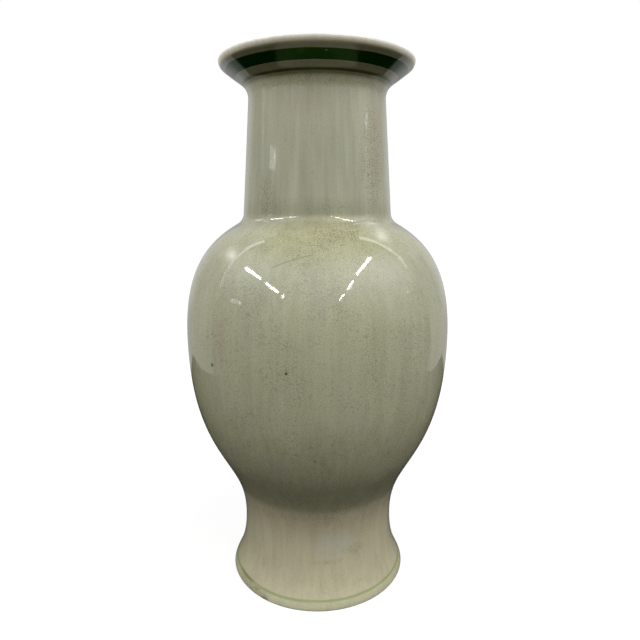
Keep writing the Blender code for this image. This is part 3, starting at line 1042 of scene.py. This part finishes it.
# Painted lines: how far each lies under its solid's middle, its share of the lean, and how far
# its edges wander
PAINTED_LINES = {
    "mouth_band": (0.00030, -1.0, 0.00010),
    "mouth_line": (0.00042, 0.0, 0.00008),
    "foot_line": (0.00035, 1.0, 0.00012),
}
# Share of each line's half width that stays thick
FIRM = {"mouth_band": 0.85, "mouth_line": 0.30, "foot_line": 0.55}
# Waves of a painted line's edges: share, waves round the axis, phase
UPPER_EDGE = [(1.0, 7, 1.0), (0.6, 19, 2.0)]
LOWER_EDGE = [(1.0, 6, 4.0), (0.6, 23, 0.5)]
PAINT_STEP = 0.0010         # distance between the rings of a wide line
PAINT_SINK = 0.00003        # how deep a painted line's edges lie in the glaze
LINE_CAST = (0.60, 0.70, 0.40)

# The nick where enamel is missing, and painted shade on the foot's line at the left: azimuth,
# height, reach, colour
NICK = (5.1, 0.3922, 0.0010, (0.16, 0.19, 0.10))
FOOT_LINE_SHADE = (-56.0, 0.0078, 0.016, (0.240, 0.265, 0.130))


class VaseOperator(bpy.types.Operator):
    """Shared by the operators that make pieces"""

    bl_idname = "celadon_vase.base"
    bl_label = "Vase piece"
    bl_options = {"REGISTER", "UNDO"}

    def start(self, context):
        scene = context.scene
        self.sizes, self.colours = scene.vase_sizes, scene.vase_colours
        self.wall = Wall(self.sizes)

    def glaze(self):
        return glaze_finish("glaze_with_crackle", self.sizes, self.colours, self.wall)


class ThrownSections(VaseOperator):
    """Make the foot, the two halves of the belly and the neck as smooth glazed walls"""

    bl_idname = "celadon_vase.thrown_sections"
    bl_label = "Thrown sections"

    def execute(self, context):
        self.start(context)
        wall, sizes = self.wall, self.sizes
        foot_start = wall.inner_run_at(sizes.ring_height)
        foot = [outside(wall, wall.ring, wall.waist),
                straight(wall.at(wall.waist), wall.inner(wall.waist)),
                inside(wall, wall.waist, foot_start),
                straight(wall.inner(foot_start), wall.at(wall.ring))]
        outlines = {
            "foot_wall": foot,
            "lower_body": section(wall, wall.waist, wall.belly),
            "upper_body": section(wall, wall.belly, wall.shoulder),
            "neck": section(wall, wall.shoulder, wall.throat),
        }
        for node, patches in outlines.items():
            piece = turned("glazed_" + node, patches, sizes, self.glaze())
            dress(piece, "crackle_glaze", node)
        return {"FINISHED"}


class Mouth(VaseOperator):
    """Make the flared mouth with its rounded lip"""

    bl_idname = "celadon_vase.mouth"
    bl_label = "Mouth"

    def execute(self, context):
        self.start(context)
        wall, sizes = self.wall, self.sizes
        edge = sizes.lip_edge
        # A quarter round up to the crest, then a cubic that leaves it level and meets the inside
        outer, inner = lip_outside(sizes), wall.inner(wall.flare)
        centre = outer - point(edge, 0.0)
        crest = centre + point(0.0, edge)
        crest_round = arc(centre, edge, outer, crest, CREST_POINTS)
        down = towards(inner, wall.inner(wall.flare - edge))
        reach = np.linalg.norm(crest - inner) / 3
        over = cubic(crest, crest - point(reach, 0.0), inner - reach * down, inner,
                     OVER_POINTS)
        patches = [outside(wall, wall.throat, wall.lip, MOUTH_STEP),
                   (crest_round, (crest_round - centre) / edge),
                   (over, profile_normals(over)),
                   inside(wall, wall.flare, wall.throat, THROAT_STEP),
                   straight(wall.inner(wall.throat), wall.at(wall.throat))]
        dress(turned("glazed_mouth", patches, sizes, self.glaze()), "crackle_glaze", "mouth")
        return {"FINISHED"}


class FootRing(VaseOperator):
    """Make the ring that the vase stands on, bare on its standing edge and with a small chip"""

    bl_idname = "celadon_vase.foot_ring"
    bl_label = "Foot ring"

    def execute(self, context):
        self.start(context)
        wall, sizes = self.wall, self.sizes
        edge = sizes.ring_edge
        top = wall.at(wall.ring)
        ledge = point(wall.inner_radius_at(sizes.ring_height) - sizes.ring_ledge, top[1])
        inner_foot = point(sizes.foot_radius - sizes.ring_width, edge)
        # A quarter round on each side of the flat standing edge
        outer_start = wall.at(edge)
        flat_out = point(outer_start[0] - edge, 0.0)
        flat_in = point(inner_foot[0] + edge, 0.0)
        outer_round = arc(point(flat_out[0], edge), edge, flat_out, outer_start, EDGE_POINTS)
        inner_round = arc(point(flat_in[0], edge), edge, inner_foot, flat_in, EDGE_POINTS)
        patches = [outside(wall, edge, wall.ring, RING_STEP),
                   straight(top, ledge), straight(ledge, inner_foot),
                   (inner_round, profile_normals(inner_round)),
                   straight(flat_in, flat_out, RING_STEP),
                   (outer_round, profile_normals(outer_round))]
        finish = glaze_finish("glaze_with_bare_edge", sizes, self.colours, wall, bare_edge=True)
        piece = turned("foot_ring_glazed", patches, sizes, finish, drift=chipped,
                       facets=4 * sizes.facets)
        dress(piece, "bare_porcelain", "foot_ring")
        return {"FINISHED"}


class BaseSlab(VaseOperator):
    """Make the vase's floor, domed underneath and coved up to the wall inside"""

    bl_idname = "celadon_vase.base_slab"
    bl_label = "Base slab"

    def execute(self, context):
        self.start(context)
        wall, sizes = self.wall, self.sizes
        low, high = sizes.ring_height, sizes.ring_height + sizes.base_thickness
        rim = wall.inner_radius_at(low) + BASE_LAP
        top_rim = wall.inner_radius_at(high + BASE_COVE) + BASE_LAP
        # With u from 0 in the middle to 1 at the rim, the underside rises by (1 - u^2)^2 of its
        # dome and the top by u^14 of its cove
        across = np.linspace(0.0, 1.0, DOME_POINTS)
        under = np.column_stack([rim * across, low + sizes.base_dome * (1 - across ** 2) ** 2])
        over = np.column_stack([top_rim * across[::-1],
                                high + BASE_COVE * across[::-1] ** COVE_POWER])
        patches = [(under, profile_normals(under)), straight(under[-1], over[0]),
                   (over, profile_normals(over))]
        piece = turned("glazed_base", patches, sizes, self.glaze())
        dress(piece, "crackle_glaze", "base_slab")
        return {"FINISHED"}


class SlipBeads(VaseOperator):
    """Make the four smoothed ridges of slip inside the joints"""

    bl_idname = "celadon_vase.slip_beads"
    bl_label = "Slip beads"

    def execute(self, context):
        self.start(context)
        wall, sizes = self.wall, self.sizes
        places = {"waist_slip": wall.waist, "belly_slip": wall.belly,
                  "shoulder_slip": wall.shoulder, "throat_slip": wall.throat}
        for node, middle in places.items():
            # Across the bead, u from 1 to -1, the ridge rises by the square of cos(u pi / 2)
            across = np.linspace(1.0, -1.0, BEAD_POINTS)
            run = middle + sizes.bead_width * across
            depth = (wall.thickness(run) - BEAD_SUNK
                     + (sizes.bead_height + BEAD_SUNK) * np.cos(across * math.pi / 2) ** 2)
            ridge = wall.at(run, depth)
            back = wall.at(run[::-1], wall.thickness(run[::-1]) - 2 * BEAD_SUNK)
            patches = [(back, profile_normals(back)), straight(back[-1], ridge[0]),
                       (ridge, profile_normals(ridge)), straight(ridge[-1], back[0])]
            piece = turned("glazed_" + node, patches, sizes, self.glaze())
            dress(piece, "luting_slip", node)
        return {"FINISHED"}


class EnamelLines(VaseOperator):
    """Make the dark band and line under the mouth and the pale line on the foot"""

    bl_idname = "celadon_vase.enamel_lines"
    bl_label = "Enamel lines"

    def execute(self, context):
        self.start(context)
        wall, sizes, colours = self.wall, self.sizes, self.colours
        nick, line_shade = [(on_wall(wall, azimuth, height), reach, tint)
                      for azimuth, height, reach, tint in (NICK, FOOT_LINE_SHADE)]
        dark = enamel_finish("painted_dark_green", colours.dark_enamel, colours.dark_enamel_thin,
                             colours.dark_cast, FIRM["mouth_band"], [nick])
        line = enamel_finish("painted_thin_green", colours.line_enamel, colours.line_enamel_thin,
                             LINE_CAST, FIRM["mouth_line"])
        pale = enamel_finish("painted_pale_green", colours.pale_enamel, colours.hem_glaze,
                             WHITE, FIRM["foot_line"], [line_shade])
        rows = {"mouth_band": (sizes.band_width, dark, "dark_green_enamel"),
                "mouth_line": (sizes.mouth_line_width, line, "dark_green_enamel"),
                "foot_line": (sizes.foot_line_width, pale, "pale_green_enamel")}
        for node, (width, finish, slot) in rows.items():
            drop, lean, waver = PAINTED_LINES[node]
            low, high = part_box(node)
            middle = wall.run_at((low.z + high.z) / 2) - drop
            piece = self.painted(node + "_enamel", middle, lean * sizes.lean, width, finish, waver)
            dress(piece, slot, node)
        return {"FINISHED"}

    def painted(self, name, middle, lean, width, finish, waver):
        """Thin layer along the wall: its face swells by 1 - u^8 across the width, each edge
        wanders with a sum of waves round the axis, and the whole leans with cos a."""
        wall, sizes = self.wall, self.sizes
        facets = 2 * sizes.facets
        angle = facet_angles(facets)
        upper, lower = [
            waver * sum(part * np.sin(count * angle + phase) for part, count, phase in waves)
            / sum(part for part, _, _ in waves) for waves in (UPPER_EDGE, LOWER_EDGE)]
        count = max(9, 2 * math.ceil(width / PAINT_STEP) + 1)
        across = np.sin(np.linspace(-1.0, 1.0, count) * math.pi / 2)
        share = (across[:, None] + 1) / 2
        run = middle + lean * np.cos(angle) + width / 2 * across[:, None]
        run = run + upper * share + lower * (1 - share)
        face_depth = -sizes.enamel_rise * (1 - across[:, None] ** 8) + PAINT_SINK
        face = wall.at(run, face_depth)
        back = wall.at(run[[-1, 0]], sizes.enamel_root)
        edges = [np.stack([face[-1], back[0]]), np.stack([back[1], face[0]])]
        patches = [(face, wall.normal(run)), (edges[0], self.along(edges[0])),
                   (back, -wall.normal(run[[-1, 0]])), (edges[1], self.along(edges[1]))]
        marks = np.concatenate([across, [1.0, -1.0, -1.0]])
        return turned(name, patches, sizes, finish, facets=facets, across=marks)

    @staticmethod
    def along(edge):
        """Normals of a short straight edge, which lie square to it in the outline's plane."""
        travel = np.broadcast_to(edge[1] - edge[0], edge.shape)
        normal = np.stack([travel[..., 1], -travel[..., 0]], axis=-1)
        return normal / np.linalg.norm(normal, axis=-1, keepdims=True)


# Studio

CAMERA_PLACE = Vector((0.0, -0.42436, 0.29632))
CAMERA_PITCH = math.radians(11.65)
CAMERA_YAW = math.radians(0.27)
CAMERA_ROLL = math.radians(-0.08)
CAMERA_LENS = 30.375
CAMERA_SENSOR = 36.0
CAMERA_NEAREST = 0.01

# The table's sides, back and front, and the soft edge of the board under the vase
TABLE_HALF_WIDTH = 0.57
TABLE_BACK = 0.47
TABLE_FRONT = -0.80
FRONT_SOFTNESS = 0.2
BOARD_EDGE = (0.206, 0.214)
FLOOR_REACH = 6.0

TENT_HALF_WIDTH = 0.57
TENT_FRONT = 0.10
TENT_HEIGHT = 0.55
ROD_WIDTH = 0.026

# Front edge of the tent's roof as (x, y), and of its left side as (y, z)
ROOF_FRONT = [(-0.57, 0.062), (-0.333, 0.061), (-0.287, 0.066), (-0.253, 0.063), (-0.219, 0.061),
              (-0.197, 0.056), (-0.180, 0.047), (0.135, 0.046), (0.175, 0.059), (0.200, 0.064),
              (0.280, 0.066), (0.330, 0.064), (0.410, 0.072), (0.570, 0.060)]
LEFT_FRONT = [(0.010, 0.0), (-0.005, 0.15), (0.015, 0.40), (0.062, 0.55)]

# Radiance of the board, the floor beside and before the table, the tent and its rods
BOARD_GLOW = 0.03
SIDE_FLOOR_GLOW = 0.18
FRONT_FLOOR_GLOW = 0.07
TENT_GLOW = {"left": 0.53, "right": 0.51, "back": 0.45, "roof": 0.73}
ROD_GLOW = 3.0
POLE_GLOW = 1.7

# More light at the ends of the tent's back: where it starts and is full, sideways and upwards
BACK_END_GLOW = 0.22
BACK_ENDS = (0.20, 0.30)
BACK_RISE = (0.10, 0.22)

WARM = (1.0, 0.98, 0.90)
COOL = (0.86, 0.96, 1.0)

# Lamps that shine through the tent's roof: centre, reach, radiance
ROOF_GLOWS = [
    ((-0.418, 0.116, TENT_HEIGHT), (0.125, 0.190, 1.0), 4.2),
    ((0.222, 0.146, TENT_HEIGHT), (0.080, 0.210, 1.0), 2.8),
]
ROOF_GLOW_POWER = 2.2

# The floor as the camera sees it: white, and grey where the vase shades it
WHITE_FLOOR = 1.1
GREY_FLOOR = (0.80, 0.80, 0.80, 1.0)
SHADED_FLOOR = (0.13, 0.27, 0.25, 0.0)

# Soft lights round the vase: azimuth and elevation in degrees, then brightness
SOFT_LIGHTS = [
    (0, 40, 1.17), (40, 40, 1.56), (-40, 40, 0.82), (80, 40, 1.98), (-80, 40, 1.58),
    (0, 15, 0.17), (40, 15, 0.31), (-40, 15, 0.36), (80, 15, 0.62), (-80, 15, 0.17),
    (120, 15, 0.43), (-120, 15, 1.10), (-120, 40, 0.24), (40, 65, 0.49),
]
SOFT_SPREAD = 14.0          # the higher, the narrower each of them

# Ceiling tubes: near end and far end as (x, y)
TUBES = {
    "right": [((1.14, -0.22), (1.16, -1.26)), ((1.22, -1.68), (1.29, -2.42)),
              ((1.31, -2.90), (1.30, -3.80))],
    "left": [((-2.02, -0.23), (-1.95, -1.22)), ((-1.93, -1.54), (-1.84, -2.60)),
             ((-1.82, -2.98), (-1.81, -3.12))],
}
TUBE_HEIGHT = 1.88
TUBE_WIDTHS = {"right": 0.070, "left": 0.120}
TUBE_RADIANCE = {"right": 40.0, "left": 28.0}

# Windows: azimuth in degrees, height, width, height of the pane, radiance
WINDOWS = {
    "left_high": (-74.0, 1.17, 0.70, 0.055, 2.7),
    "left_low": (-73.0, 1.07, 0.85, 0.070, 2.7),
    "left_near": (-68.6, 1.15, 0.12, 0.12, 8.0),
    "left_far": (-77.3, 1.14, 0.07, 0.07, 4.5),
    "right": (85.8, 1.34, 0.09, 0.09, 9.0),
}
WINDOW_DISTANCE = 4.0
DAYLIGHT = (0.88, 0.95, 1.0)
AIM = Vector((0.0, 0.0, 0.28))       # what every lamp faces


def cleared(holder):
    """The graph of a new material or world, with no nodes in it."""
    holder.use_nodes = True
    holder.node_tree.nodes.clear()
    return Graph(holder.node_tree)


def emission(name, radiance, tint=WHITE):
    """Material that only glows. Its radiance is a value or a function that builds it."""
    material = bpy.data.materials.new(name)
    graph = cleared(material)
    strength = radiance(graph) if callable(radiance) else radiance
    light = graph.node("ShaderNodeEmission", {"Color": (*tint, 1.0), "Strength": strength})
    graph.feed(graph.node("ShaderNodeOutputMaterial").inputs[0], light.outputs[0])
    return material


def roof_glow(graph):
    """The light tent's roof, which two lamps above shine through as soft round glows."""
    place = graph.place()
    strength = TENT_GLOW["roof"]
    for centre, reach, peak in ROOF_GLOWS:
        away = graph.vector("DIVIDE", graph.vector("SUBTRACT", place, centre), reach)
        near = graph.minus(1.0, graph.vector("LENGTH", away), clamp=True)
        glow = graph.times(graph.math("POWER", near, ROOF_GLOW_POWER), peak)
        strength = graph.plus(strength, glow)
    return strength


def back_glow(graph):
    """The light tent's back wall, brighter above the table near both of its ends."""
    x, _, z = graph.parts(graph.place())
    aside = graph.between(graph.math("ABSOLUTE", x), *BACK_ENDS)
    above = graph.between(z, *BACK_RISE, 0.0, BACK_END_GLOW)
    return graph.plus(graph.times(aside, above), TENT_GLOW["back"])


def show(graph, shown, unseen, output):
    """Sends one shader to the camera and another one to every other ray."""
    camera = graph.node("ShaderNodeLightPath").outputs["Is Camera Ray"]
    mixed = graph.node("ShaderNodeMixShader", {0: camera, 1: unseen.outputs[0],
                                               2: shown.outputs[0]})
    graph.feed(graph.node(output).inputs[0], mixed.outputs[0])


def floor_finish():
    """White to the camera, with the vase's soft shadow; a dark table top to every other ray."""
    material = bpy.data.materials.new("floor")
    graph = cleared(material)
    place = graph.place()
    x, y, _ = graph.parts(place)
    aside = graph.math("ABSOLUTE", x)
    on_table = graph.times(graph.math("LESS_THAN", aside, TABLE_HALF_WIDTH),
                           graph.math("LESS_THAN", y, TABLE_BACK))
    on_table = graph.times(on_table, graph.math("GREATER_THAN", y, TABLE_FRONT))
    on_board = graph.between(aside, *BOARD_EDGE, 1.0, 0.0)
    side = graph.between(y, TABLE_FRONT - FRONT_SOFTNESS, TABLE_FRONT, FRONT_FLOOR_GLOW,
                         SIDE_FLOOR_GLOW)
    around = graph.plus(graph.times(graph.times(on_board, BOARD_GLOW), on_table),
                        graph.times(graph.minus(1.0, on_table), side))
    unseen = graph.node("ShaderNodeEmission", {"Strength": around})
    lit = graph.node("ShaderNodeBsdfDiffuse", {"Color": GREY_FLOOR})
    glow = graph.node("ShaderNodeEmission", {"Strength": WHITE_FLOOR})
    shaded = graph.between(graph.vector("LENGTH", place), *SHADED_FLOOR)
    shown = graph.node("ShaderNodeMixShader", {0: shaded, 1: glow.outputs[0], 2: lit.outputs[0]})
    show(graph, shown, unseen, "ShaderNodeOutputMaterial")
    return material


def heading(azimuth, elevation):
    """Unit direction of an azimuth and an elevation in degrees."""
    turn, rise = math.radians(azimuth), math.radians(elevation)
    return (math.sin(turn) * math.cos(rise), -math.cos(turn) * math.cos(rise), math.sin(rise))


def sky():
    """White to the camera; to other rays a dim room with large soft lights in it."""
    world = bpy.data.worlds.new("studio")
    bpy.context.scene.world = world
    graph = cleared(world)
    direction = graph.node("ShaderNodeTexCoord").outputs["Generated"]
    brightness = 0.0
    for azimuth, elevation, strength in SOFT_LIGHTS:
        facing = graph.vector("DOT_PRODUCT", direction, heading(azimuth, elevation))
        spread = graph.math("POWER", graph.math("MAXIMUM", facing, 0.0), SOFT_SPREAD)
        brightness = graph.plus(brightness, graph.times(spread, strength))
    shown, unseen = [graph.node("ShaderNodeBackground", {"Color": (1, 1, 1, 1), "Strength": level})
                     for level in (1.0, brightness)]
    show(graph, shown, unseen, "ShaderNodeOutputWorld")


def sheet_of(name, corners, material, seen_by_camera=False):
    """A flat panel of the stage."""
    mesh = bpy.data.meshes.new(name)
    mesh.from_pydata([Vector(corner) for corner in corners], [], [range(len(corners))])
    mesh.materials.append(material)
    panel = placed(name, mesh)
    panel.visible_camera = seen_by_camera


def stand(item, place, side, up, back):
    """Puts an object at a place, with its own X, Y and Z axes in those directions."""
    item.matrix_world = Matrix.Translation(place) @ Matrix((side, up, back)).transposed().to_4x4()


def lamp(name, start, end, width, radiance, tint=WHITE):
    """A tube lamp as a long area light that faces the vase."""
    start, end = Vector(start), Vector(end)
    middle = (start + end) / 2
    light = bpy.data.lights.new(name, "AREA")
    light.shape = "RECTANGLE"
    light.size, light.size_y = width, (end - start).length
    light.color = tint
    light.energy = radiance * math.pi * light.size * light.size_y
    along = (end - start).normalized()
    away = middle - AIM
    away = (away - along * away.dot(along)).normalized()
    holder = placed(name, light)
    stand(holder, middle, along.cross(away), along, away)
    holder.visible_camera = False


class Studio(bpy.types.Operator):
    """Make the floor, the light tent behind the vase, the lamps, the sky and the camera"""

    bl_idname = "celadon_vase.studio"
    bl_label = "Studio"
    bl_options = {"REGISTER", "UNDO"}

    def execute(self, context):
        far = FLOOR_REACH
        sheet_of("floor", [(-far, -far, 0), (far, -far, 0), (far, far, 0), (-far, far, 0)],
                 floor_finish(), seen_by_camera=True)
        self.tent()
        self.lamps()
        sky()
        self.camera(context)
        context.scene.view_settings.view_transform = "Standard"
        return {"FINISHED"}

    def tent(self):
        wide, front, back, high = TENT_HALF_WIDTH, TENT_FRONT, TABLE_BACK, TENT_HEIGHT
        brow = [(x, y, high) for x, y in ROOF_FRONT]
        edge = [(-wide, y, z) for y, z in LEFT_FRONT]
        sheet_of("tent_left", edge + [(-wide, back, high), (-wide, back, 0)],
                 emission("tent_left", TENT_GLOW["left"], WARM))
        sheet_of("tent_right", [(wide, back, 0), (wide, front, 0), (wide, front, high),
                                (wide, back, high)], emission("tent_right", TENT_GLOW["right"]))
        sheet_of("tent_back", [(-wide, back, 0), (wide, back, 0), (wide, back, high),
                               (-wide, back, high)], emission("tent_back", back_glow))
        sheet_of("tent_roof", brow + [(wide, back, high), (-wide, back, high)],
                 emission("tent_roof", roof_glow))
        rod, pole = emission("tent_rod", ROD_GLOW, COOL), emission("tent_pole", POLE_GLOW, COOL)
        for name, line, finish in (("tent_rod_left", [c for c in brow if c[0] < 0.0], rod),
                                   ("tent_rod_right", [c for c in brow if c[0] > 0.0], rod),
                                   ("tent_pole", edge[-2:], pole)):
            before = [(x, y - ROD_WIDTH, z) for x, y, z in reversed(line)]
            sheet_of(name, line + before, finish)

    def lamps(self):
        for side, row in TUBES.items():
            for number, ends in enumerate(row):
                near, far = [(x, y, TUBE_HEIGHT) for x, y in ends]
                lamp(f"tube_{side}_{number}", near, far, TUBE_WIDTHS[side], TUBE_RADIANCE[side])
        for name, (azimuth, level, width, tall, radiance) in WINDOWS.items():
            middle = WINDOW_DISTANCE * Vector(heading(azimuth, 0.0)) + Vector((0.0, 0.0, level))
            half = Vector((0.0, 0.0, tall / 2))
            lamp("window_" + name, middle - half, middle + half, width, radiance, DAYLIGHT)

    def camera(self, context):
        camera = bpy.data.cameras.new("camera")
        camera.lens = CAMERA_LENS
        camera.sensor_width = CAMERA_SENSOR
        camera.clip_start = CAMERA_NEAREST
        forward = Vector((math.sin(CAMERA_YAW) * math.cos(CAMERA_PITCH),
                          math.cos(CAMERA_YAW) * math.cos(CAMERA_PITCH), -math.sin(CAMERA_PITCH)))
        right = forward.cross(Vector((0.0, 0.0, 1.0))).normalized()
        up = right.cross(forward)
        right, up = (right * math.cos(CAMERA_ROLL) + up * math.sin(CAMERA_ROLL),
                     up * math.cos(CAMERA_ROLL) - right * math.sin(CAMERA_ROLL))
        holder = placed("camera", camera)
        stand(holder, CAMERA_PLACE, right, up, -forward)
        context.scene.camera = holder


class VasePanel(bpy.types.Panel):
    """Sizes, colours and the steps that make the vase"""

    bl_idname = "VIEW3D_PT_celadon_vase"
    bl_label = "Celadon vase"
    bl_space_type = "VIEW_3D"
    bl_region_type = "UI"
    bl_category = "Vase"

    def draw(self, context):
        for settings in (context.scene.vase_sizes, context.scene.vase_colours):
            column = self.layout.column(align=True)
            for name in settings.bl_rna.properties.keys():
                if name not in ("rna_type", "name"):
                    column.prop(settings, name)
        for step in STEPS:
            self.layout.operator(step.bl_idname)


STEPS = (ThrownSections, Mouth, FootRing, BaseSlab, SlipBeads, EnamelLines, Studio)
CLASSES = (VaseSizes, VaseColours, *STEPS, VasePanel)


def register():
    for item in CLASSES:
        bpy.utils.register_class(item)
    bpy.types.Scene.vase_sizes = PointerProperty(type=VaseSizes)
    bpy.types.Scene.vase_colours = PointerProperty(type=VaseColours)


def unregister():
    del bpy.types.Scene.vase_colours
    del bpy.types.Scene.vase_sizes
    for item in reversed(CLASSES):
        bpy.utils.unregister_class(item)


def main():
    register()
    bpy.ops.celadon_vase.thrown_sections()
    bpy.ops.celadon_vase.mouth()
    bpy.ops.celadon_vase.foot_ring()
    bpy.ops.celadon_vase.base_slab()
    bpy.ops.celadon_vase.slip_beads()
    bpy.ops.celadon_vase.enamel_lines()
    bpy.ops.celadon_vase.studio()


if __name__ == "__main__":
    main()
